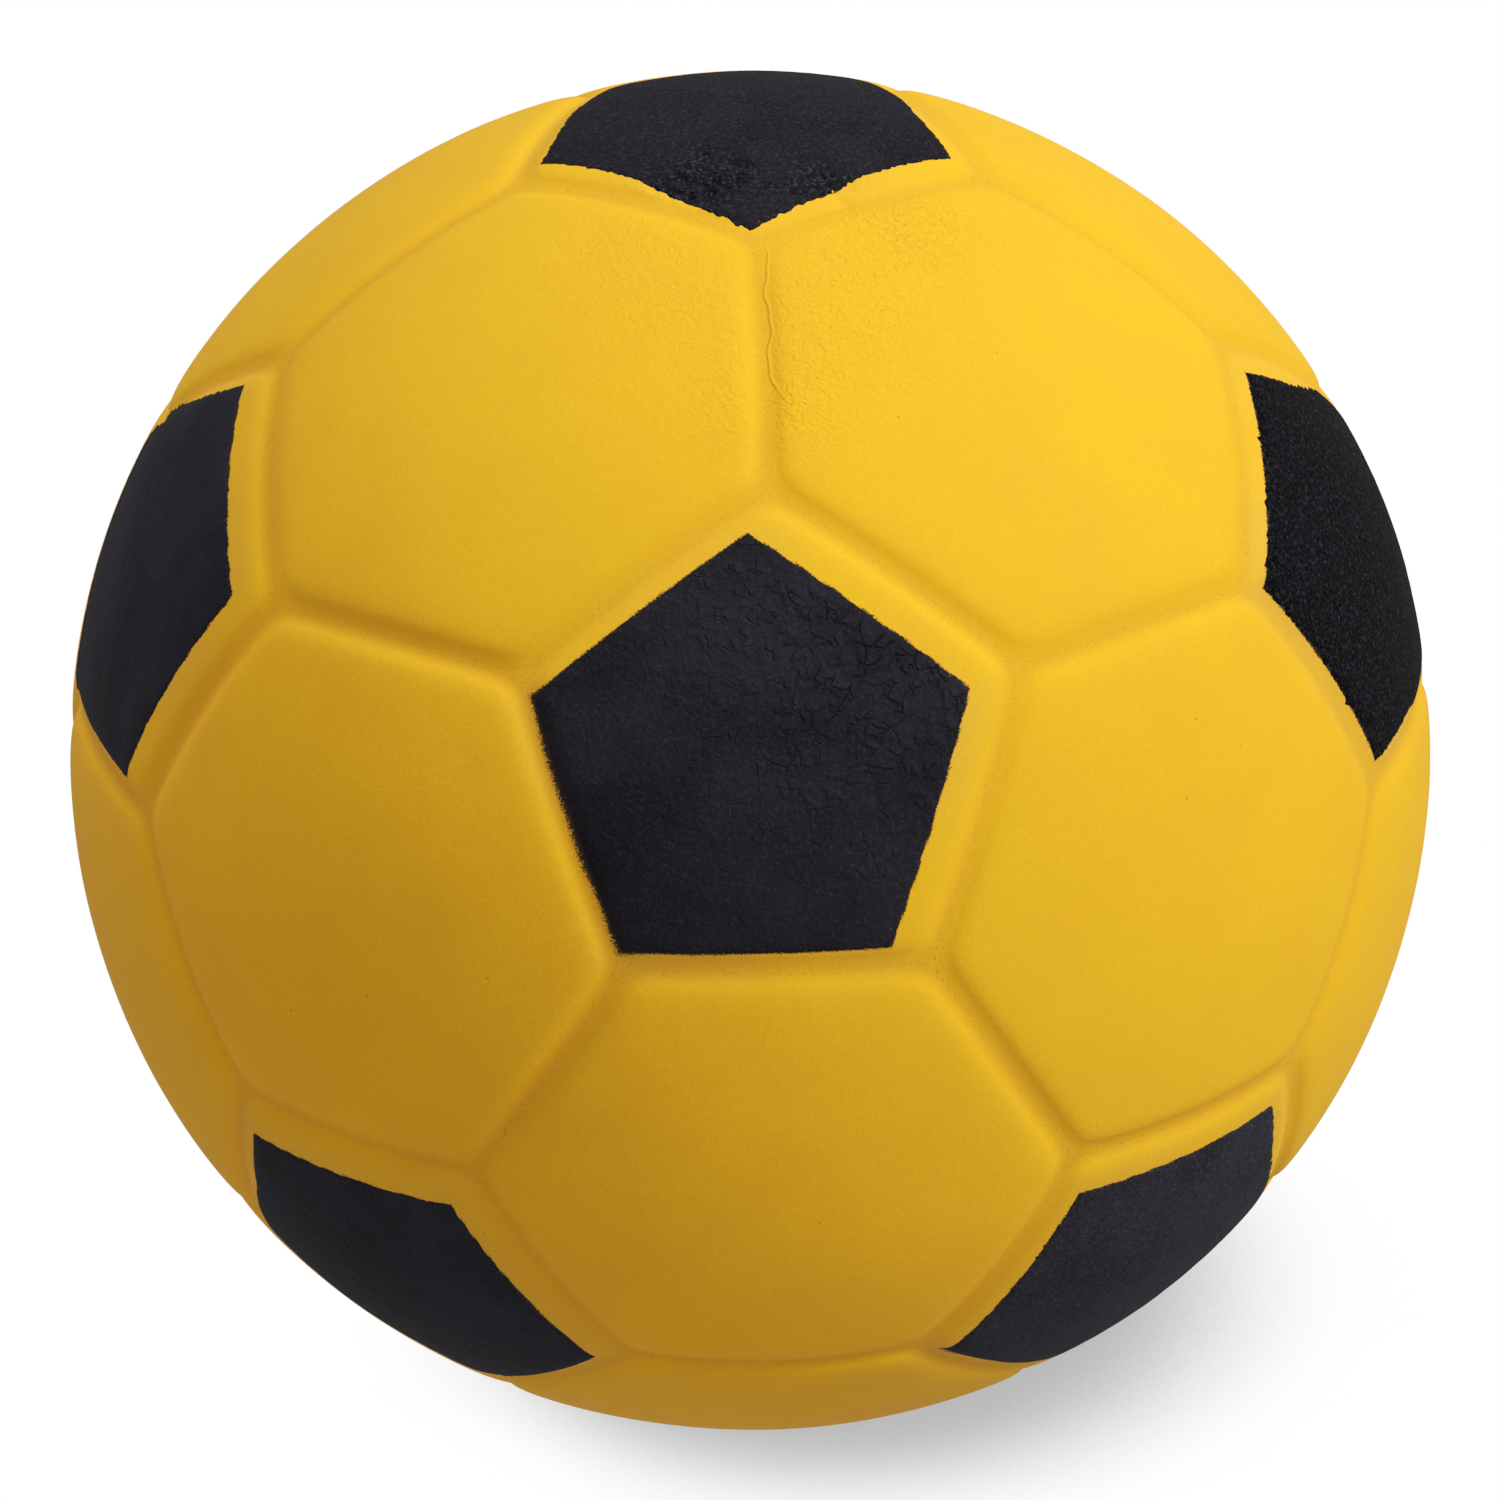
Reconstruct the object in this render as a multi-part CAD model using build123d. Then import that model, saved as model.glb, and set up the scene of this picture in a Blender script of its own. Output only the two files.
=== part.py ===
from build123d import *
import os
from itertools import combinations
from math import atan2, cos, degrees, radians, sin, sqrt, tan

# A soft foam ball with a moulded football pattern. The origin is the ball's centre and +Z points
# up through the middle of the crown's pentagon. One pentagon of the upper band faces -Y.

# ---- driving dimensions, in millimetres ----
ball_diameter = 63.5        # across two opposite painted pads
paint_thickness = 0.08      # the black coats stand this far proud of their pads
groove_depth = 0.35         # from the pads' crowns to the floor of the grooves
groove_width = 1.3          # from pad to pad
skin_under_groove = 0.35    # skin left between the groove's floor and the foam
pad_edge_radius = 0.3       # rounds the pads' rims
pad_corner_radius = 1.0     # rounds the pads' corners, seen from above
paint_margin = 0.65         # bare yellow between a coat's edge and its pad's rim

# ---- worked out from them ----
paint_radius = ball_diameter / 2
pad_radius = paint_radius - paint_thickness
groove_radius = pad_radius - groove_depth
core_radius = groove_radius - skin_under_groove

# ---- the pattern: a truncated icosahedron, blown up onto a sphere ----
# a regular face's distance from the centre and its inner radius, both for an edge of 1
pentagon_distance = sqrt((125 + 41 * sqrt(5)) / 40)
hexagon_distance = sqrt(3) * (3 + sqrt(5)) / 4
pentagon_inner = 1 / (2 * tan(radians(36)))
hexagon_inner = 1 / (2 * tan(radians(30)))
# the angle at the ball's centre from the middle of a pad to the middle of a seam beside it
pentagon_half_angle = atan2(pentagon_inner, pentagon_distance)
hexagon_half_angle = atan2(hexagon_inner, hexagon_distance)
band_latitude = degrees(atan2(1, 2))    # of the five pentagons above and below the equator
neighbour_angle = degrees(atan2(2, 1))  # from one pentagon's middle to the next
angle_slack = 1                         # degrees within which two angles count as the same
band_count = 5                          # pentagons in a band
front_azimuth = -90                     # of the first pentagon of the upper band
# a cutting pyramid starts and ends this far out, in ball radii
pyramid_start = 0.4
pyramid_end = 1.2


def direction(azimuth, latitude):
    """The unit vector at an azimuth and a latitude, both in degrees."""
    flat = cos(radians(latitude))
    return Vector(flat * cos(radians(azimuth)), flat * sin(radians(azimuth)), sin(radians(latitude)))


def pentagon_places():
    """Each pentagon's name and the direction of its middle, from the crown down."""
    step = 360 / band_count
    places = {"crown": direction(0, 90)}
    for band, latitude, turn in (("upper", band_latitude, 0), ("lower", -band_latitude, step / 2)):
        for number in range(band_count):
            azimuth = front_azimuth + turn + step * number
            places[f"{band}_{number + 1}"] = direction(azimuth, latitude)
    places["base"] = direction(0, -90)
    return places


def are_neighbours(first, second):
    return abs(first.get_angle(second) - neighbour_angle) < angle_slack


def hexagon_places(pentagons):
    """The middle of each hexagon lies between three pentagons that all neighbour each other."""
    places = []
    for trio in combinations(pentagons, 3):
        if all(are_neighbours(*pair) for pair in combinations(trio, 2)):
            places.append((trio[0] + trio[1] + trio[2]).normalized())
    return places


def pyramid(middle, pentagons, sides, half_angle, inset, corner_radius=0):
    """A pyramid from inside the ball out past its surface, with one side for each seam of a pad.

    Its sides are the planes of the seams, moved in by inset. Seen from above, a pentagon turns a
    corner to the nearest other pentagon, and a hexagon turns the middle of a side to it.
    corner_radius is the corners' rounding where the pyramid leaves the ball.
    """
    others = [place for place in pentagons if middle.get_angle(place) > angle_slack]
    nearest = min(others, key=lambda place: middle.get_angle(place))
    across = (nearest - middle * middle.dot(nearest)).normalized()
    turn = 180 / sides if sides == 6 else 0
    outlines = []
    for height in (pyramid_start * ball_diameter / 2, pyramid_end * ball_diameter / 2):
        inner = height * tan(half_angle) - inset / cos(half_angle)
        corner = inner / cos(radians(180 / sides))
        outline = RegularPolygon(corner, sides, rotation=turn)
        if corner_radius:
            outline = fillet(outline.vertices(), corner_radius * height / pad_radius)
        outlines.append(Plane(origin=middle * height, x_dir=across, z_dir=middle) * outline)
    return loft(outlines, ruled=True)


def shell(outer, inner):
    return Sphere(outer) - Sphere(inner)


def pad(middle, pentagons, sides, half_angle):
    """One raised pad with a rounded rim. It reaches down into the skin that it grows from."""
    layer = shell(pad_radius, (core_radius + groove_radius) / 2)
    inset = groove_width / 2
    cut = layer & pyramid(middle, pentagons, sides, half_angle, inset, pad_corner_radius)
    crown = cut.faces().sort_by(lambda face: face.center().length)[-1]
    return fillet(crown.edges(), pad_edge_radius)


def skin(pentagons):
    """The yellow skin: a thin closed ball with 32 raised pads and a hollow for the foam."""
    pads = [pad(middle, pentagons, 5, pentagon_half_angle) for middle in pentagons]
    for middle in hexagon_places(pentagons):
        pads.append(pad(middle, pentagons, 6, hexagon_half_angle))
    return Sphere(groove_radius) + pads - Sphere(core_radius)


def paint_coat(middle, pentagons):
    """One black coat: a thin pentagon that lies on a pad and stops short of the pad's rim."""
    inset = groove_width / 2 + paint_margin
    outline = pyramid(middle, pentagons, 5, pentagon_half_angle, inset)
    return shell(paint_radius, pad_radius) & outline


def write(name, shape):
    solids = shape.solids()
    assert len(solids) == 1 and solids[0].is_valid, name
    solids[0].label = name
    export_step(solids[0], f"parts/{name}.step")


os.makedirs("parts", exist_ok=True)
pentagons = pentagon_places()
middles = list(pentagons.values())
write("foam_core", Sphere(core_radius))
write("skin", skin(middles))
for place, middle in pentagons.items():
    write(f"black_patch_{place}", paint_coat(middle, middles))
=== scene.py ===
import random
from itertools import combinations
from math import asin, atan2, cos, pi, radians, sin, tan

import bpy
import numpy as np
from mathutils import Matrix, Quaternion, Vector, noise


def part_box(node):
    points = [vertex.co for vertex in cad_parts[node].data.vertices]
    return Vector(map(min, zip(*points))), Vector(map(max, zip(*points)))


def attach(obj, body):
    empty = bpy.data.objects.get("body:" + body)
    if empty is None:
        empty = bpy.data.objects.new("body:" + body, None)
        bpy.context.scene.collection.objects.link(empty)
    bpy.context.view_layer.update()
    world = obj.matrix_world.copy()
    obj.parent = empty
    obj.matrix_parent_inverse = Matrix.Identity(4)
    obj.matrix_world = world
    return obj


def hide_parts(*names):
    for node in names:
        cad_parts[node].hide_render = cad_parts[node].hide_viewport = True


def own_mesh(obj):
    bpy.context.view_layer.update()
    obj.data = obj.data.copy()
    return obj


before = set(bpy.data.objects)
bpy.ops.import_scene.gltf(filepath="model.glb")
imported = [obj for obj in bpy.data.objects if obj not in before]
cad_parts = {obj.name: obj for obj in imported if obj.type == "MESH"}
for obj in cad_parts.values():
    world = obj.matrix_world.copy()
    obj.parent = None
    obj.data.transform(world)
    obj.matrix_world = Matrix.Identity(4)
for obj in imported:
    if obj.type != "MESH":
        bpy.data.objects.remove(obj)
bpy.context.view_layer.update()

# A soft foam ball with a moulded football pattern. Lengths are in millimetres and angles in degrees
# until a mesh is made. Azimuth -90 is the front, -Y, and latitude 90 is the top, +Z.

mm = 0.001                                             # a millimetre in Blender's metres
pad_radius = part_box("skin")[1].z / mm
paint_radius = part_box("black_patch_crown")[1].z / mm
core_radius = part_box("foam_core")[1].z / mm

# ---- the pattern ----
band_count = 5            # pentagons in the upper band, and in the lower one
band_latitude = 26.565    # of the five pentagons above and below the equator
front_azimuth = -90       # of the first pentagon of the upper band
nowhere_near = 1000       # stands in for a distance that doesn't matter
batch = 50000             # directions worked on at a time, to save memory

# ---- the skin's relief ----
floor_half = 0.6          # from the middle of a groove to the steepest part of its wall
wall_slope = 0.52         # there, as a rise over a run
shoulder = 0.36           # a pad rolls off towards its groove over about this distance
corner_rounding = 0.35    # of the pads' corners, seen from above
# the moulding's unevenness: how wide its bumps are and how high
lump_size, lump_height = 9.0, 0.05
ripple_size, ripple_height = 2.2, 0.008
lump_sink = 0.4           # of the lumps, in shares of their height
crease_size, crease_height = 1.1, 0.015
dent_depth = 0.26
crumb_size, crumb_height = 0.6, 0.36    # of the broken floors of the dents
proud_pads = ("crown", "upper_2", "upper_5", "lower_1", "lower_5")
proud_height = 0.18       # of those pads' outward edges
proud_offset = 0.22       # from a pad's middle to where it stands proudest, in ball radii
proud_reach = 6.0         # it falls back over about this distance

# Faults at certain places, each as an azimuth, a latitude, a radius in mm and a strength.
# The front's upper seam is shallower near the crown's corner.
faint_seam = ((-90, 70, 2.5, 0.5),)
# The skin is wrinkled to the right of that seam, to its left and at its lower end.
creases = (
    (-75, 62.3, 5.5, 0.6),
    (-50, 69.5, 3.5, 1),
    (-118, 70, 4, 0.35),
    (-103, 61, 4.5, 0.18),
    (-89, 53.6, 2.5, 0.6),
)
# The crown's pad is dented on both sides of its front corner.
dents = ((-108, 77.8, 2.1, 1), (-67, 76.5, 1.8, 0.7))
dent_steepness, dent_threshold = 2.2, 0.5      # of their walls, so that each is a hollow with an edge
dent_edge_size, dent_edge_play = 1.5, 0.5      # of that edge's unevenness

# ---- the mould's flash, a thin ridge beside the front's upper seam ----
flash_offset = 0.38              # to the seam's right
flash_low, flash_high = 53, 70   # the latitudes of its ends
flash_rise, flash_fall = 3, 2    # degrees over which it fades in and out there
# its wander to the right: each wave's width in mm, its radians for a degree of latitude, its start
flash_waves = ((0.10, 0.95, 0), (0.04, 2.3, 1))
# the hook at its lower end: its reach to the right in mm, its latitude, and the degrees over which
# it straightens
hook_reach, hook_latitude, hook_height = 1.4, 53.2, 0.8

# ---- the meshes ----
kite_steps = 44           # grid steps along a pad's quarter, from its middle to its seam
crowding = 0.6            # how much closer the grid's lines lie at the seams than at the middles
lining_steps = 10         # grid steps for the skin's inner face
core_steps = 20           # and for the foam
skin_gap = 0.02           # between the skin's inner face and the foam
cell_size, cell_depth = 1.3, 0.12        # of the dimples in the foam's surface
weld_precision = 1e6      # points nearer than one over this are made one

# ---- the black coats ----
coat_circumradius = 17.25      # from a coat's middle to its corners, an angle at the ball's centre
coat_rise = 0.045         # above the skin
coat_edge_rise = 0.012    # at the very edge, where the spray thins out
coat_sink = 0.03          # the coat's underside keys into the skin by this much
coat_taper = 0.5          # over which the coat thins out
pimple_size, pimple_height = 0.5, 0.012  # of the coat's own unevenness
coat_steps = 44
coat_crowding = 0.3
ragged_height = 0.045     # of a coat's teeth, for a finish whose teeth are 1
ragged_band = 1.5         # the teeth pull on the grid as far in from the edge as this
tooth_size = 0.22
wave_size, wave_share = 0.8, 0.3         # of the slow waves under the teeth
sprayer = (-90, 27)       # the sprayer's azimuth and latitude
overspray = 0.15          # how much further a coat runs on the side that faces away from the sprayer
overspray_start, overspray_rate = 0.05, 5      # where on that side it starts, and how fast it grows
# Where a coat runs further than its stencil, or not as far: azimuth, latitude, radius in mm, and how
# much further in shares of the coat's own radius.
uneven = {
    "crown": ((-90, 73, 5.5, 0.13), (150, 74, 4, 0.08)),
    "upper_2": ((-1, 35.5, 3, 0.07),),
    "upper_5": ((-179, 35.5, 3, 0.07), (175, 24, 7, 0.06)),
    "lower_5": ((-111, -24.6, 2.2, -0.035),),
}

# How coarse a coat's pebbles are, and so how strong their painted glints and pit shade are, how deep the
# teeth of its edge are, and how light its black is.
finish = {
    "upper_1": (0.15, 1.3, 1.25),
    "upper_2": (1.3, 8.0, 0.36),
    "upper_5": (0.0, 6.0, 1.75),
    "lower_1": (0.25, 7.0, 2.0),
    "lower_5": (0.1, 2.5, 1.7),
    "crown": (0.4, 4.5, 0.95),
}
plain_finish = (0.3, 3.0, 1.0)
# in a dent the pebbles are coarser and their painted glints and pit shade stronger
dent_coarse = 0.5         # how much coarser the pebbles are in a dent
# How strongly the coats are crazed: all but the front one, the front one, and one side of that.
plain_craze, front_craze = 0.2, 0.12
front_crazing = ((-79, 35, 7, 0.88),)
crack_warp = 0.9          # how far the net of cracks is pushed about

# How each stencil sat on its pad: the shift to the right, the shift up, and the turn, as seen from
# outside. The far side's are drawn at random from the same small range.
stencil = {
    "upper_1": (-0.9, -0.4, 0),
    "upper_2": (-0.55, -0.1, 0.5),
    "upper_5": (-1.15, -0.5, -0.5),
    "lower_1": (-0.05, -0.6, 2),
    "lower_5": (-0.3, -1.0, 2),
    "crown": (-0.05, 0.35, -1),
}
stencil_shift = (-0.6, -0.3)   # the middle of that range
stencil_play = 0.4             # half its width
stencil_turn = 1.5
stencil_seed = 5

# ---- the mist and the dull film beside the coats ----
spray_reach = 0.10        # of the mist beyond an edge on a flat pad
spray_creep = 1.1         # added to that where a coat's edge hangs over a groove
plain_creep = 0.15        # the share of it that every coat has
# the share added round the front coat, and at two corners of the lower right one
creep_marks = ((-90, band_latitude, 13, 0.85), (-66, -13, 3.5, 0.6), (-74, -33.5, 2.5, 0.6))
mist_patch_size, mist_patchiness = 2.5, 0.45
dust_reach = 1.8          # of the film beyond the edges
dust_patch_size, dust_patchiness = 5, 1.2
dust_share, dust_most = 0.35, 0.6        # of a full film, where the patches' noise is 0 and at most
dust_marks = ((-36, 24, 9, 1),)          # where it is strongest, beside the right-hand coat

# ---- colours, as the red, green and blue light that they send back ----
skin_yellow, skin_deep = (0.95, 0.480, 0.015), (0.91, 0.445, 0.015)
skin_sand = (0.84, 0.396, 0.015)
# painted shade at the groove floors, partly dirt
skin_groove_shade_and_dirt = (0.62, 0.23, 0.02)         # at the bottom of the grooves
skin_film = (0.66, 0.36, 0.065)
# painted shade in the pinholes
skin_pinhole_shade = (0.22, 0.09, 0.01)
# black droplets of the spray mist, also painted shade along the groove floors
skin_mist_and_shade = (0.016, 0.013, 0.015)
skin_gloss = (1.0, 0.75, 0.35)
coat_black, coat_deep = (0.0150, 0.0140, 0.0180), (0.0095, 0.0088, 0.0115)
# painted shade in the pebbles' pits and painted glints on their peaks
coat_pit_shade, coat_peak_glint = (0.002, 0.002, 0.003), (0.078, 0.072, 0.094)
coat_bare = (0.30, 0.15, 0.03)          # where the paint is too thin to hide the yellow
foam_cream, foam_deep = (0.90, 0.77, 0.40), (0.84, 0.69, 0.31)
# painted shade in the foam's cells
foam_cell_shade = (0.50, 0.36, 0.12)


# ======== the football pattern ========

def direction(azimuth, latitude):
    """The unit vector at an azimuth and a latitude."""
    flat = cos(radians(latitude))
    return np.array([flat * cos(radians(azimuth)), flat * sin(radians(azimuth)), sin(radians(latitude))])


def pentagon_places():
    """Each pentagon's name and the direction of its middle, from the crown down."""
    step = 360 / band_count
    places = {"crown": direction(front_azimuth, 90)}
    for band, latitude, turn in (("upper", band_latitude, 0), ("lower", -band_latitude, step / 2)):
        for number in range(band_count):
            azimuth = front_azimuth + turn + step * number
            places[f"{band}_{number + 1}"] = direction(azimuth, latitude)
    places["base"] = direction(front_azimuth, -90)
    return places


def unit(vectors):
    return vectors / np.linalg.norm(vectors, axis=-1, keepdims=True)


def in_order_round(middle, points):
    """The points sorted anticlockwise round a middle, as seen from outside."""
    across = unit(points[0] - middle * (points[0] @ middle))
    along = np.cross(middle, across)
    return sorted(points, key=lambda point: atan2(point @ along, point @ across))


def pad_outlines(places):
    """The flat corners of the 12 pentagons, then of the 20 hexagons, of a truncated icosahedron."""
    middles = list(places.values())
    numbers = range(len(middles))
    # neighbours are less than a right angle apart
    close = [(a, b) for a, b in combinations(numbers, 2) if middles[a] @ middles[b] > 0]
    third = {}
    for a, b in close:
        third[a, b] = (2 * middles[a] + middles[b]) / 3
        third[b, a] = (2 * middles[b] + middles[a]) / 3
    outlines = []
    for number in numbers:
        corners = [point for (near, _), point in third.items() if near == number]
        outlines.append(in_order_round(middles[number], corners))
    for trio in combinations(numbers, 3):
        if all(pair in close for pair in combinations(trio, 2)):
            corners = [third[a, b] for a in trio for b in trio if a != b]
            middle = unit(sum(middles[number] for number in trio))
            outlines.append(in_order_round(middle, corners))
    return [np.array(outline) for outline in outlines]


places = pentagon_places()
outlines = pad_outlines(places)
# each pad's plane as one vector: its unit normal over its distance from the centre
planes = np.array([unit(outline.mean(0)) / np.linalg.norm(outline.mean(0)) for outline in outlines])
plane_gaps = np.linalg.norm(planes[:, None] - planes[None], axis=2)
np.fill_diagonal(plane_gaps, 1)    # a pad has no gap to itself, and this keeps the division safe


def seam_distance(directions):
    """How far each direction lies from its pad's seams, with the corners rounded off."""
    found = []
    for some in np.array_split(directions, 1 + len(directions) // batch):
        height = some @ planes.T
        own = height.argmax(1)
        away = pad_radius * (height.max(1)[:, None] - height) / plane_gaps[own]
        away[np.arange(len(some)), own] = nowhere_near
        found.append(-corner_rounding * np.log(np.exp(-away / corner_rounding).sum(1)))
    return np.maximum(np.concatenate(found), 0)


# ======== the relief ========

def ripples(directions, size, shift=0):
    """Smooth noise from -1 to 1 over the ball, with bumps of about that size in mm.

    Another shift gives other bumps.
    """
    points = directions * (pad_radius / size) + shift
    return np.array([noise.noise(point) for point in points.tolist()])


def spot(directions, azimuth, latitude, radius):
    """1 at a place on the ball, fading to 0 over a radius."""
    away = np.linalg.norm(directions - direction(azimuth, latitude), axis=1) * pad_radius
    return np.exp(-(away / radius) ** 2)


def groove(distance):
    """How deep the surface lies below the pads' crowns, from the distance to the seam."""
    drop = wall_slope * shoulder
    wall = drop * np.exp(-(distance - floor_half) / shoulder)
    floor = drop + wall_slope * (floor_half ** 2 - distance ** 2) / (2 * floor_half)
    return np.where(distance > floor_half, wall, floor)


groove_depth = float(groove(np.zeros(1))[0])


def marked(directions, marks):
    """The sum of several spots, each with its azimuth, latitude, radius and strength."""
    return sum(strength * spot(directions, azimuth, latitude, radius)
               for azimuth, latitude, radius, strength in marks)


def creased(directions):
    """Where the skin is wrinkled, from 0 to 1."""
    return np.clip(marked(directions, creases), 0, 1)


def dented(directions):
    """Where the crown's pad is dented, from 0 to 1, with uneven edges."""
    play = dent_edge_play * ripples(directions, dent_edge_size, 9)
    return np.clip(dent_steepness * marked(directions, dents) - dent_threshold + play, 0, 1)


def flash_line(directions):
    """How far each direction lies to the right of the flash's middle, in mm, and its height there.

    The height is a share of the full one. The flash is on the front only.
    """
    east = directions[:, 0] * pad_radius
    latitude = np.degrees(np.arcsin(np.clip(directions[:, 2], -1, 1)))
    wander = sum(width * np.sin(latitude * pace + start) for width, pace, start in flash_waves)
    hook = hook_reach * np.exp(-np.abs(latitude - hook_latitude) / hook_height)
    # the hook slants, so its middle is nearer than the distance to the east says
    slant = np.sqrt(1 + (hook / hook_height) ** 2)
    away = (east - flash_offset - wander - hook) / slant
    rise = np.clip((latitude - flash_low) / flash_rise, 0, 1)
    fall = np.clip((flash_high - latitude) / flash_fall, 0, 1)
    return away, rise * fall * (directions[:, 1] < 0)


def proud(directions):
    """Where the black pads round the front one stand proud: along the edges that face away from it."""
    front = places["upper_1"]
    pad = (directions @ planes.T).argmax(1)
    found = 0
    for number, (name, middle) in enumerate(places.items()):
        if name in proud_pads:
            outward = unit(middle - front * (middle @ front))
            edge = unit(middle + proud_offset * outward)
            away = np.linalg.norm(directions - edge, axis=1) * pad_radius
            found = found + (pad == number) * np.exp(-(away / proud_reach) ** 2)
    return found * np.clip(seam_distance(directions) / floor_half, 0, 1)


def surface_radius(directions):
    """The skin's outer face: pads parted by soft grooves, and everything uneven about them."""
    shallower = 1 - marked(directions, faint_seam)
    radius = pad_radius - groove(seam_distance(directions)) * shallower
    radius = radius + lump_height * (ripples(directions, lump_size) - lump_sink)
    radius = radius + ripple_height * ripples(directions, ripple_size, 31)
    radius = radius + crease_height * creased(directions) * ripples(directions, crease_size, 7)
    dent = dented(directions)
    radius = radius - dent_depth * dent + crumb_height * dent * ripples(directions, crumb_size, 13)
    return radius + proud_height * proud(directions)


# ======== meshes ========

def kite_grid(outline, steps, crowd):
    """Points on one flat pad, as one grid for each corner's quarter of it, and their quads."""
    line = np.linspace(0, 1, steps + 1)
    line = line + crowd * line * (1 - line)
    u, v = (side[..., None] for side in np.meshgrid(line, line, indexing="ij"))
    middle = outline.mean(0)
    points = []
    for corner, before, after in zip(outline, np.roll(outline, 1, 0), np.roll(outline, -1, 0)):
        left, right = (corner + before) / 2, (corner + after) / 2
        inner = middle * (1 - u) + left * u
        outer = right * (1 - u) + corner * u
        points.append((inner * (1 - v) + outer * v).reshape(-1, 3))
    row, column = np.meshgrid(np.arange(steps), np.arange(steps), indexing="ij")
    first = (row * (steps + 1) + column).ravel()
    quad = np.stack([first, first + steps + 1, first + steps + 2, first + 1], axis=1)
    quads = [quad + (steps + 1) ** 2 * number for number in range(len(outline))]
    return np.concatenate(points), np.concatenate(quads)


def welded(points, quads):
    """The same quads with the points that lie in one place made one."""
    keys = np.round(points * weld_precision).astype(np.int64)
    _, first, place = np.unique(keys, axis=0, return_index=True, return_inverse=True)
    return points[first], place.reshape(-1)[quads]


def joined(*parts):
    """Several (points, quads) as one, such as the two faces of a shell."""
    points, quads, count = [], [], 0
    for some, faces in parts:
        points.append(some)
        quads.append(faces + count)
        count += len(some)
    return np.concatenate(points), np.concatenate(quads)


def ball_grid(steps, crowd):
    """Unit directions over the whole ball, and quads that follow the pads."""
    grids = [kite_grid(outline, steps, crowd) for outline in outlines]
    return welded(*joined(*((unit(points), quads) for points, quads in grids)))


def make_piece(name, points, quads, material, **masks):
    """A smooth mesh object. Its rest attribute keeps each point's place in mm for the materials.

    Each mask is another attribute, with one value for each point.
    """
    mesh = bpy.data.meshes.new(name)
    mesh.from_pydata(points * mm, [], quads)
    rest = mesh.attributes.new("rest", "FLOAT_VECTOR", "POINT")
    rest.data.foreach_set("vector", points.astype(np.float32).ravel())
    for mask, values in masks.items():
        layer = mesh.attributes.new(mask, "FLOAT", "POINT")
        layer.data.foreach_set("value", values.astype(np.float32))
    mesh.shade_smooth()
    mesh.materials.append(material)
    piece = bpy.data.objects.new(name, mesh)
    bpy.context.scene.collection.objects.link(piece)
    return piece


# ======== the black coats' places ========

def stencil_places():
    """Each coat's middle, and its up and left as seen from outside, as unit vectors.

    Up is the way to a corner. They are where the stencil's shift and turn put them.
    """
    draw = random.Random(stencil_seed)
    found = {}
    for name, middle in places.items():
        loose = (stencil_shift[0] + draw.uniform(-stencil_play, stencil_play),
                 stencil_shift[1] + draw.uniform(-stencil_play, stencil_play),
                 draw.uniform(-stencil_turn, stencil_turn))
        right, up, turn = stencil.get(name, loose)
        # up is away from the front on the crown, towards it on the base, and the pole elsewhere
        pole = np.array([0, middle[2], 0]) if name in ("crown", "base") else np.array([0, 0, 1.0])
        east = unit(np.cross(pole, middle))
        north = np.cross(middle, east)
        moved = unit(middle * pad_radius + east * right + north * up)
        east = unit(east - moved * (east @ moved))
        north = np.cross(moved, east)
        # an upper pentagon points up and the others down
        way = 1 if name.startswith("upper") else -1
        angle = radians(turn)
        first = way * (north * cos(angle) - east * sin(angle))
        found[name] = (moved, first, np.cross(moved, first))
    return found


coat_places = stencil_places()


def coat_outline(name):
    """The coat's five corners, on the plane that touches the ball at its middle, at radius 1."""
    middle, up, left = coat_places[name]
    reach = tan(radians(coat_circumradius))
    turns = [2 * pi * number / 5 for number in range(5)]
    return np.array([middle + reach * (up * cos(turn) + left * sin(turn)) for turn in turns])


def outside_coat(name, directions):
    """How far each direction lies outside a coat's edge, in mm, and less than 0 inside it."""
    middle, up, left = coat_places[name]
    is_near = directions @ middle > 0.8
    ahead = np.maximum(directions @ middle, 0.2)    # never nearly 0, on the far side either
    x, y = directions @ up / ahead, directions @ left / ahead
    side = tan(radians(coat_circumradius)) * cos(pi / 5)
    turns = [pi / 5 + 2 * pi * number / 5 for number in range(5)]
    away = np.max([x * cos(turn) + y * sin(turn) for turn in turns], axis=0) - side
    return np.where(is_near, pad_radius * away * ahead ** 2, nowhere_near)


def outside_coats(directions):
    """How far each direction lies outside the nearest coat's edge, in mm."""
    return np.min([outside_coat(name, directions) for name in places], axis=0)


def spray(directions):
    """The black mist round every coat, from 1 at its edge to 0, wider over the front's grooves."""
    hang = groove(seam_distance(directions)) / groove_depth
    creep = spray_creep * (plain_creep + marked(directions, creep_marks))
    patchy = 1 + mist_patchiness * (ripples(directions, mist_patch_size, 3) - 1)
    reach = spray_reach + creep * hang ** 1.5 * patchy
    return np.clip(1 - outside_coats(directions) / np.maximum(reach, spray_reach / 2), 0, 1)


def dust(directions):
    """A dull film beside the coats, in patches."""
    patchy = dust_share + dust_patchiness * ripples(directions, dust_patch_size, 61)
    share = np.clip(np.clip(patchy, 0, dust_most) + marked(directions, dust_marks), 0, 1)
    return np.clip(1 - outside_coats(directions) / dust_reach, 0, 1) * share


# ======== materials ========

def new_material(name):
    material = bpy.data.materials.new(name)
    material.use_nodes = True
    nodes = material.node_tree.nodes
    return material, nodes, material.node_tree.links, nodes["Principled BSDF"]


def attribute(nodes, name):
    """Reads what make_piece stored under that name."""
    node = nodes.new("ShaderNodeAttribute")
    node.attribute_name = name
    return node


def noise_texture(nodes, links, place, size, detail, roughness=0.5, distortion=0.0):
    """Noise with features of about that size in mm."""
    node = nodes.new("ShaderNodeTexNoise")
    node.inputs["Scale"].default_value = 1 / size
    node.inputs["Detail"].default_value = detail
    node.inputs["Roughness"].default_value = roughness
    node.inputs["Distortion"].default_value = distortion
    links.new(place, node.inputs["Vector"])
    return node.outputs["Fac"]


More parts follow.
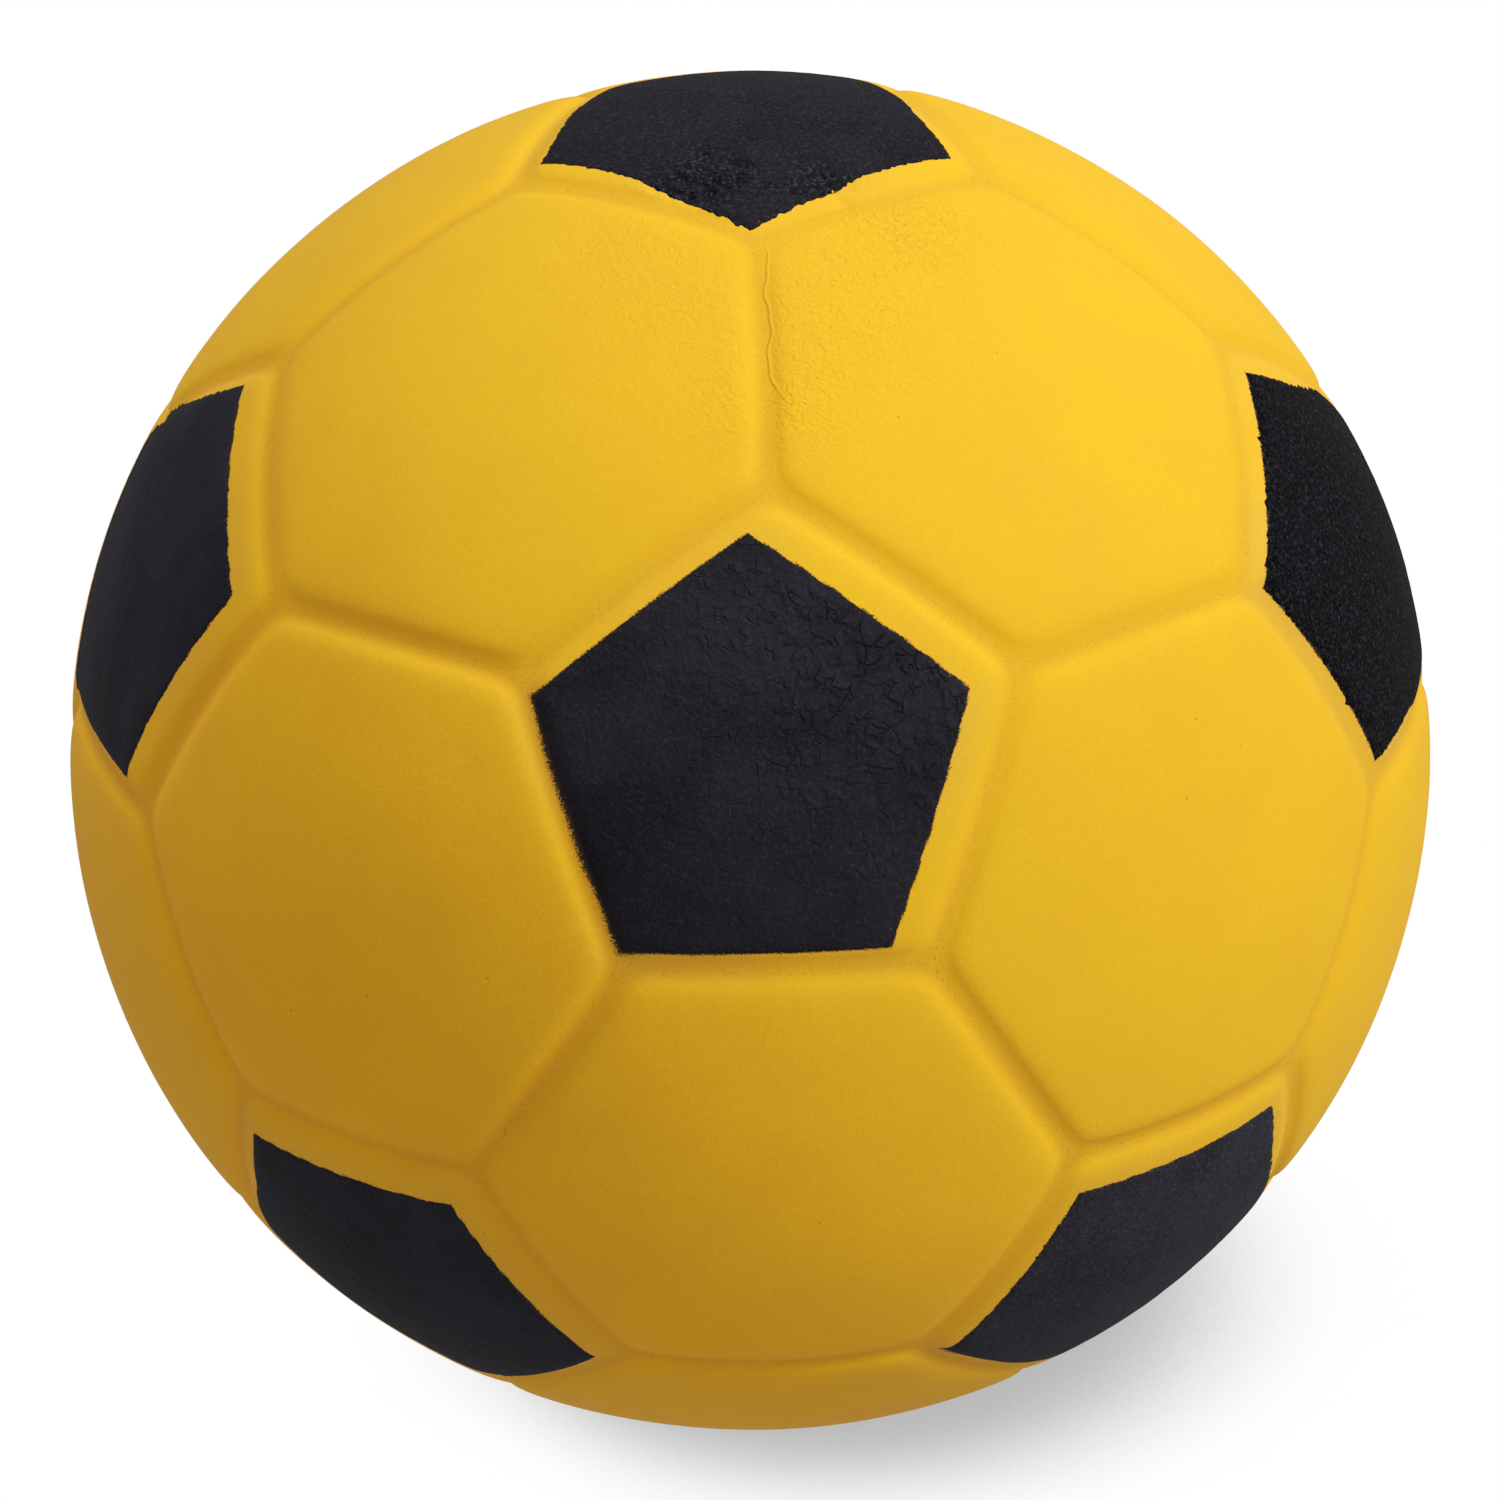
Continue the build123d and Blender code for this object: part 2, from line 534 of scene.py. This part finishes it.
def cells_texture(nodes, links, place, size, feature="F1"):
    """How far each place lies from the nearest cell's middle, or from its edge, in cells."""
    node = nodes.new("ShaderNodeTexVoronoi")
    node.feature = feature
    node.inputs["Scale"].default_value = 1 / size
    links.new(place, node.inputs["Vector"])
    return node.outputs["Distance"]


def math_node(nodes, links, operation, *inputs):
    """One sum, whose inputs are numbers or sockets."""
    node = nodes.new("ShaderNodeMath")
    node.operation = operation
    for socket, value in zip(node.inputs, inputs):
        if isinstance(value, (int, float)):
            socket.default_value = value
        else:
            links.new(value, socket)
    return node.outputs[0]


def product(nodes, links, first, second):
    return math_node(nodes, links, "MULTIPLY", first, second)


def ramp(nodes, links, value, low, high, start=0.0, end=1.0):
    """Maps value from low..high to start..end smoothly, and holds it there outside."""
    node = nodes.new("ShaderNodeMapRange")
    node.interpolation_type = "SMOOTHSTEP"
    for name, number in (("From Min", low), ("From Max", high), ("To Min", start), ("To Max", end)):
        if isinstance(number, (int, float)):
            node.inputs[name].default_value = number
        else:
            links.new(number, node.inputs[name])
    links.new(value, node.inputs["Value"])
    return node.outputs["Result"]


def mixed(nodes, links, share, first, second):
    """A colour between two, which are colours or sockets."""
    node = nodes.new("ShaderNodeMix")
    node.data_type = "RGBA"
    colour_inputs = [socket for socket in node.inputs if socket.type == "RGBA"]
    for socket, value in zip(colour_inputs, (first, second)):
        if isinstance(value, tuple):
            socket.default_value = (*value, 1)
        else:
            links.new(value, socket)
    links.new(share, node.inputs["Factor"])
    return next(socket for socket in node.outputs if socket.type == "RGBA")


def bumped(nodes, links, height, depth, below=None):
    """A bump of that depth in mm on top of another."""
    node = nodes.new("ShaderNodeBump")
    node.inputs["Distance"].default_value = depth * mm
    node.inputs["Strength"].default_value = 1.0
    links.new(height, node.inputs["Height"])
    if below is not None:
        links.new(below, node.inputs["Normal"])
    return node.outputs["Normal"]


def skin_colour(nodes, links, place, clouds, sand, bottom):
    """Yellow with faint mottling, fine sand, painted shade in the grooves and pinholes, a dull film and
    black mist.
    """
    colour = mixed(nodes, links, ramp(nodes, links, clouds, 0.3, 0.7), skin_deep, skin_yellow)
    grain = ramp(nodes, links, sand, 0.30, 0.70, start=0.0, end=0.5)
    colour = mixed(nodes, links, grain, colour, skin_sand)
    # painted shade, partly dirt: the groove floors darker and warmer
    colour = mixed(nodes, links, product(nodes, links, bottom, 0.22), colour, skin_groove_shade_and_dirt)

    film = product(nodes, links, attribute(nodes, "dust").outputs["Fac"],
                   ramp(nodes, links, sand, 0.30, 0.65, start=0.25, end=0.60))
    colour = mixed(nodes, links, film, colour, skin_film)

    # pinholes: dark dots of painted shade, with no holes in the mesh
    speck = cells_texture(nodes, links, place, size=2.6)
    pinhole_shade = ramp(nodes, links, speck, 0.014, 0.026, start=0.6, end=0.0)
    colour = mixed(nodes, links, pinhole_shade, colour, skin_pinhole_shade)

    # the mist is droplets, and the more of it there is, the fewer gaps lie between them. Along the
    # groove floors the same black droplets are painted shade, partly mist.
    mist_and_groove_shade = attribute(nodes, "spray").outputs["Fac"]
    mist_and_groove_shade = math_node(nodes, links, "MAXIMUM", mist_and_groove_shade, product(nodes, links, bottom, 0.19))
    droplets = noise_texture(nodes, links, place, size=0.08, detail=3, roughness=0.7)
    low = math_node(nodes, links, "SUBTRACT", 0.66, product(nodes, links, mist_and_groove_shade, 0.66))
    high = math_node(nodes, links, "ADD", low, 0.30)
    dark_droplets = product(nodes, links, ramp(nodes, links, droplets, low, high),
                    ramp(nodes, links, mist_and_groove_shade, 0.0, 0.15))
    return mixed(nodes, links, dark_droplets, colour, skin_mist_and_shade)


def skin_bumps(nodes, links, place, sand, hollow):
    """Sand, orange peel, wrinkles where the skin is creased, and the flash's ridge."""
    normal = bumped(nodes, links, sand, depth=0.010)
    peel = noise_texture(nodes, links, place, size=0.75, detail=2, distortion=0.6)
    normal = bumped(nodes, links, peel, depth=0.012, below=normal)

    wrinkle = noise_texture(nodes, links, place, size=0.38, detail=2.5, distortion=1.2)
    on_pad = math_node(nodes, links, "SUBTRACT", 1.0, product(nodes, links, hollow, 0.8))
    crease = product(nodes, links, attribute(nodes, "crease").outputs["Fac"], on_pad)
    wrinkle = product(nodes, links, wrinkle, crease)
    normal = bumped(nodes, links, wrinkle, depth=0.18, below=normal)

    off_line = math_node(nodes, links, "ABSOLUTE", attribute(nodes, "flash").outputs["Fac"])
    ridge = product(nodes, links, ramp(nodes, links, off_line, 0.0, 0.11, start=1.0, end=0.0),
                    attribute(nodes, "flash_height").outputs["Fac"])
    return bumped(nodes, links, ridge, depth=0.036, below=normal)


def yellow_skin():
    """Satin yellow foam skin."""
    material, nodes, links, shader = new_material("yellow_skin")
    place = attribute(nodes, "rest").outputs["Vector"]
    hollow = attribute(nodes, "hollow").outputs["Fac"]
    clouds = noise_texture(nodes, links, place, size=5.0, detail=3)
    sand = noise_texture(nodes, links, place, size=0.16, detail=2, roughness=0.6)
    bottom = math_node(nodes, links, "POWER", hollow, 5.0)
    links.new(skin_colour(nodes, links, place, clouds, sand, bottom), shader.inputs["Base Color"])
    links.new(ramp(nodes, links, clouds, 0.2, 0.8, start=0.70, end=0.80), shader.inputs["Roughness"])
    shader.inputs["Specular IOR Level"].default_value = 0.22
    shader.inputs["Specular Tint"].default_value = (*skin_gloss, 1)
    links.new(skin_bumps(nodes, links, place, sand, hollow), shader.inputs["Normal"])
    return material


def coat_colour(nodes, links, place, clouds, pebble, coarse):
    """Black with painted shade in the pits and painted glints on the peaks, lighter on some coats, and
    thin at the edges.
    """
    colour = mixed(nodes, links, ramp(nodes, links, clouds, 0.3, 0.7), coat_deep, coat_black)
    # painted shade in the pebbles' pits, then painted glints on their peaks
    pit_shade = product(nodes, links, coarse, ramp(nodes, links, pebble, 0.30, 0.48, start=0.9, end=0.0))
    colour = mixed(nodes, links, pit_shade, colour, coat_pit_shade)
    peak_glints = product(nodes, links, coarse, ramp(nodes, links, pebble, 0.50, 0.75, start=0.0, end=0.8))
    colour = mixed(nodes, links, peak_glints, colour, coat_peak_glint)

    tint = nodes.new("ShaderNodeVectorMath")
    tint.operation = "SCALE"
    links.new(colour, tint.inputs[0])
    links.new(attribute(nodes, "tone").outputs["Fac"], tint.inputs["Scale"])

    droplets = noise_texture(nodes, links, place, size=0.12, detail=2, roughness=0.7)
    inside = attribute(nodes, "inside").outputs["Fac"]
    edge = ramp(nodes, links, inside, 0.0, 0.5, start=0.14, end=0.0)
    low = math_node(nodes, links, "SUBTRACT", 0.78, edge)
    high = math_node(nodes, links, "ADD", low, 0.1)
    thin = ramp(nodes, links, droplets, low, high, start=0.0, end=0.7)
    return mixed(nodes, links, thin, tint.outputs["Vector"], coat_bare)


def crazing(nodes, links, place):
    """A net of cracks, in patches, where the coat's craze mask asks for it: 0 in them, 1 between."""
    warp = noise_texture(nodes, links, place, size=0.9, detail=2)
    shift = nodes.new("ShaderNodeVectorMath")
    shift.operation = "MULTIPLY_ADD"
    links.new(warp, shift.inputs[0])
    shift.inputs[1].default_value = (crack_warp, crack_warp, crack_warp)
    links.new(place, shift.inputs[2])
    edges = cells_texture(nodes, links, shift.outputs["Vector"], size=0.8, feature="DISTANCE_TO_EDGE")
    crack = ramp(nodes, links, edges, 0.0, 0.09)
    patchy = ramp(nodes, links, noise_texture(nodes, links, place, size=0.8, detail=1), 0.42, 0.6)
    strength = product(nodes, links, attribute(nodes, "craze").outputs["Fac"], patchy)
    return product(nodes, links, crack, strength)


def black_coat():
    """Matte black spray paint: pebbled, and crazed in places."""
    material, nodes, links, shader = new_material("black_coat")
    place = attribute(nodes, "rest").outputs["Vector"]
    coarse = attribute(nodes, "coarse").outputs["Fac"]
    clouds = noise_texture(nodes, links, place, size=4.0, detail=3)
    pebble = noise_texture(nodes, links, place, size=0.17, detail=2, roughness=0.6)
    colour = coat_colour(nodes, links, place, clouds, pebble, coarse)
    links.new(colour, shader.inputs["Base Color"])
    links.new(ramp(nodes, links, clouds, 0.2, 0.8, start=0.58, end=0.70), shader.inputs["Roughness"])
    shader.inputs["Specular IOR Level"].default_value = 0.03
    relief = math_node(nodes, links, "ADD", 0.35, product(nodes, links, coarse, 0.65))
    normal = bumped(nodes, links, product(nodes, links, pebble, relief), depth=0.13)
    normal = bumped(nodes, links, crazing(nodes, links, place), depth=0.12, below=normal)
    links.new(normal, shader.inputs["Normal"])
    return material


def foam():
    """Cream polyurethane foam with fine open cells."""
    material, nodes, links, shader = new_material("foam")
    place = attribute(nodes, "rest").outputs["Vector"]
    cells = cells_texture(nodes, links, place, size=0.9)
    clouds = noise_texture(nodes, links, place, size=6.0, detail=3)
    colour = mixed(nodes, links, ramp(nodes, links, clouds, 0.3, 0.7), foam_deep, foam_cream)
    # painted shade: darker towards each cell's middle, where it is deepest
    cell_shade = ramp(nodes, links, cells, 0.0, 0.45, start=0.55, end=0.0)
    colour = mixed(nodes, links, cell_shade, colour, foam_cell_shade)
    links.new(colour, shader.inputs["Base Color"])
    links.new(ramp(nodes, links, clouds, 0.2, 0.8, start=0.85, end=0.95), shader.inputs["Roughness"])
    links.new(bumped(nodes, links, cells, depth=0.25), shader.inputs["Normal"])
    return material


# ======== the pieces ========

def make_skin():
    """One closed skin: the moulded outer face and the face that sits on the foam."""
    out, quads = ball_grid(kite_steps, crowding)
    inward, lining = ball_grid(lining_steps, 0)
    points, quads = joined((out * surface_radius(out)[:, None], quads),
                           (inward * (core_radius + skin_gap), lining[:, ::-1]))
    ways = unit(points)
    flash, flash_height = flash_line(ways)
    return make_piece("yellow_skin", points, quads, yellow_skin(),
                      spray=spray(ways),
                      dust=dust(ways),
                      crease=creased(ways),
                      flash=flash,
                      flash_height=flash_height,
                      hollow=groove(seam_distance(ways)) / groove_depth)


def make_core():
    """The foam inside, with open cells all over it."""
    ways, quads = ball_grid(core_steps, 0)
    radius = core_radius - cell_depth * (1 - np.abs(ripples(ways, cell_size, 5)))
    return make_piece("foam_ball", ways * radius[:, None], quads, foam())


def border(quads):
    """The coat grid's outer edges, each as the two points in the order that its quad has them."""
    edges = np.concatenate([quads[:, [side, (side + 1) % 4]] for side in range(4)])
    keys = np.sort(edges, axis=1)
    _, first, count = np.unique(keys, axis=0, return_index=True, return_counts=True)
    return edges[first[count == 1]]


def ragged(name, teeth, flat, middle):
    """Where a coat's grid lies once its edge is ragged and the spray has run outwards."""
    ways = unit(flat)
    rag = wave_share * ripples(ways, wave_size, 3) + teeth * ripples(ways, tooth_size, 17)
    push = ragged_height * rag / (pad_radius * tan(radians(coat_circumradius)))
    behind = (unit(middle) - ways) @ direction(*sprayer)    # the far side from the sprayer
    push = push + overspray * np.clip(overspray_rate * (behind - overspray_start), 0, 1)
    push = push + marked(ways, uneven.get(name, ()))
    near_edge = np.clip(1 + outside_coat(name, ways) / ragged_band, 0, 1)
    return unit(middle + (flat - middle) * (1 + push * near_edge)[:, None])


def craze(name, ways):
    """How strongly a coat is crazed, from 0 to 1."""
    if name == "upper_1":
        share = front_craze + marked(ways, front_crazing)
    else:
        share = plain_craze
    return np.clip(share + dented(ways), 0, 1)


def make_coat(name, material):
    """One thin black coat that lies on its pad, with a ragged edge and a closed underside."""
    coarse, teeth, tone = finish.get(name, plain_finish)
    outline = coat_outline(name)
    flat, quads = welded(*kite_grid(outline, coat_steps, coat_crowding))
    ways = ragged(name, teeth, flat, outline.mean(0))

    inside = np.maximum(-outside_coat(name, unit(flat)), 0)
    full = np.clip(inside / coat_taper, 0, 1)
    ground = surface_radius(ways)
    top = ground + coat_edge_rise + (coat_rise - coat_edge_rise) * full * (2 - full)
    top = top + pimple_height * full * ripples(ways, pimple_size, 23)
    bottom = ground - coat_sink
    points = np.concatenate([ways * top[:, None], ways * bottom[:, None]])

    # the top, the underside, and a skirt of quads that joins their edges
    count = len(ways)
    edge = border(quads)
    skirt = np.stack([edge[:, 1], edge[:, 0], edge[:, 0] + count, edge[:, 1] + count], axis=1)
    quads = np.concatenate([quads, quads[:, ::-1] + count, skirt])
    return make_piece(f"black_coat_{name}", points, quads, material,
                      craze=np.tile(craze(name, ways), 2),
                      coarse=np.tile(coarse + dent_coarse * dented(ways), 2),
                      tone=np.full(2 * count, tone),
                      inside=np.tile(inside, 2))


def ride_and_squash(piece, body):
    """The piece rides on its body, with a mesh of its own."""
    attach(piece, body)
    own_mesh(piece)


def make_ball():
    skin = make_skin()
    ride_and_squash(skin, "ball")
    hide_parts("skin")
    core = make_core()
    ride_and_squash(core, "ball")
    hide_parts("foam_core")
    material = black_coat()
    for name in places:
        coat = make_coat(name, material)
        if name == "crown":
            ride_and_squash(coat, "crown")
        elif name == "base":
            ride_and_squash(coat, "ball")
        elif name.startswith("upper"):
            ride_and_squash(coat, "upper_band")
        else:
            ride_and_squash(coat, "lower_band")
        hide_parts(f"black_patch_{name}")


# ======== the studio ========

white = 1.38              # the light that the picture shows as pure white
# light, and how bright the picture shows it: plain, then rolled off
tones = ((0.4, 0.4), (0.7, 0.62))
ambient = 0.46            # light from all round
lamp_distance = 0.6       # metres
lamp_width = 0.25
# each lamp's strength is what a matte white that faces it sends back
key_strength = 0.84
key_direction = Vector((0.72, -0.34, 0.61)).normalized()
top_strength = 0.44
top_direction = Vector((-0.2, 0.26, 0.9)).normalized()
shadow_side = (-0.36, -0.33, 0.87)  # the way that the floor's light comes from
shadow_range = (0.28, 0.54)         # shares of it, for the deepest shadow and for none
shadow_light = 0.5                  # in the deepest shadow
shadow_reach = 4          # in ball radii
shadow_samples = 32
floor_width = 6           # metres
camera_azimuth, camera_elevation, camera_roll = -1.97, 26.9, -0.31
camera_distance = 7.3     # in ball radii
ball_share = 0.907        # of the frame's width that the ball fills
sensor_width = 36         # millimetres
nearest_seen = 0.01       # metres from the camera


def make_floor():
    """A white floor that lights nothing. It darkens where the ball hides the light's side from it."""
    half = floor_width / 2
    corners = ((-half, -half), (half, -half), (half, half), (-half, half))
    mesh = bpy.data.meshes.new("floor")
    mesh.from_pydata([(x, y, -paint_radius * mm) for x, y in corners], [], [(0, 1, 2, 3)])
    floor = bpy.data.objects.new("floor", mesh)
    bpy.context.scene.collection.objects.link(floor)
    material, nodes, links, shader = new_material("floor")
    shader.inputs["Base Color"].default_value = (0, 0, 0, 1)
    shader.inputs["Specular IOR Level"].default_value = 0
    shader.inputs["Emission Color"].default_value = (1, 1, 1, 1)
    open_sky = nodes.new("ShaderNodeAmbientOcclusion")
    open_sky.inputs["Distance"].default_value = shadow_reach * paint_radius * mm
    open_sky.samples = shadow_samples
    side = nodes.new("ShaderNodeCombineXYZ")
    for socket, value in zip(side.inputs, shadow_side):
        socket.default_value = value
    links.new(side.outputs["Vector"], open_sky.inputs["Normal"])
    links.new(ramp(nodes, links, open_sky.outputs["AO"], *shadow_range, shadow_light, white),
              shader.inputs["Emission Strength"])
    mesh.materials.append(material)
    floor.visible_diffuse = False
    floor.visible_glossy = False


def make_world():
    """The same light from all round, and a white background to look at."""
    world = bpy.data.worlds.new("studio")
    bpy.context.scene.world = world
    world.use_nodes = True
    nodes, links = world.node_tree.nodes, world.node_tree.links
    seen = nodes.new("ShaderNodeLightPath").outputs["Is Camera Ray"]
    light = math_node(nodes, links, "MAXIMUM", ambient, product(nodes, links, seen, 2 * white))
    nodes["Background"].inputs["Color"].default_value = (1, 1, 1, 1)
    links.new(light, nodes["Background"].inputs["Strength"])


def make_lamp(name, way, strength):
    """A soft round lamp that faces the ball."""
    data = bpy.data.lights.new(name, "AREA")
    data.shape = "DISK"
    data.size = lamp_width
    data.energy = strength * pi ** 2 * lamp_distance ** 2
    lamp = bpy.data.objects.new(name, data)
    lamp.location = way * lamp_distance
    lamp.rotation_mode = "QUATERNION"
    lamp.rotation_quaternion = (-way).to_track_quat("-Z", "Y")
    bpy.context.scene.collection.objects.link(lamp)


def make_camera():
    """A camera at the photo's viewing angle."""
    azimuth, elevation = radians(camera_azimuth), radians(camera_elevation)
    back = Vector((sin(azimuth) * cos(elevation), -cos(azimuth) * cos(elevation), sin(elevation)))
    data = bpy.data.cameras.new("camera")
    camera = bpy.data.objects.new("camera", data)
    bpy.context.scene.collection.objects.link(camera)
    data.sensor_width = sensor_width
    data.lens = ball_share * sensor_width / 2 / tan(asin(1 / camera_distance))
    data.clip_start = nearest_seen
    camera.location = back * camera_distance * pad_radius * mm
    camera.rotation_mode = "QUATERNION"
    roll = Quaternion((0, 0, 1), radians(camera_roll))
    camera.rotation_quaternion = (-back).to_track_quat("-Z", "Y") @ roll
    bpy.context.scene.camera = camera


def set_tones():
    """The picture's tones: plain in the darks, then rolled off to white as a photograph's are."""
    view = bpy.context.scene.view_settings
    view.view_transform = "Standard"
    view.use_curve_mapping = True
    curves = view.curve_mapping
    curves.white_level = (white, white, white)
    curve = curves.curves[3]    # the one that red, green and blue share
    for light, shown in tones:
        curve.points.new(light / white, shown)
    # straight lines in the darks
    for point in list(curve.points)[:2]:
        point.handle_type = "VECTOR"
    curves.update()


make_camera()
make_world()
make_lamp("key", key_direction, key_strength)
make_lamp("top", top_direction, top_strength)
make_floor()
make_ball()
set_tones()
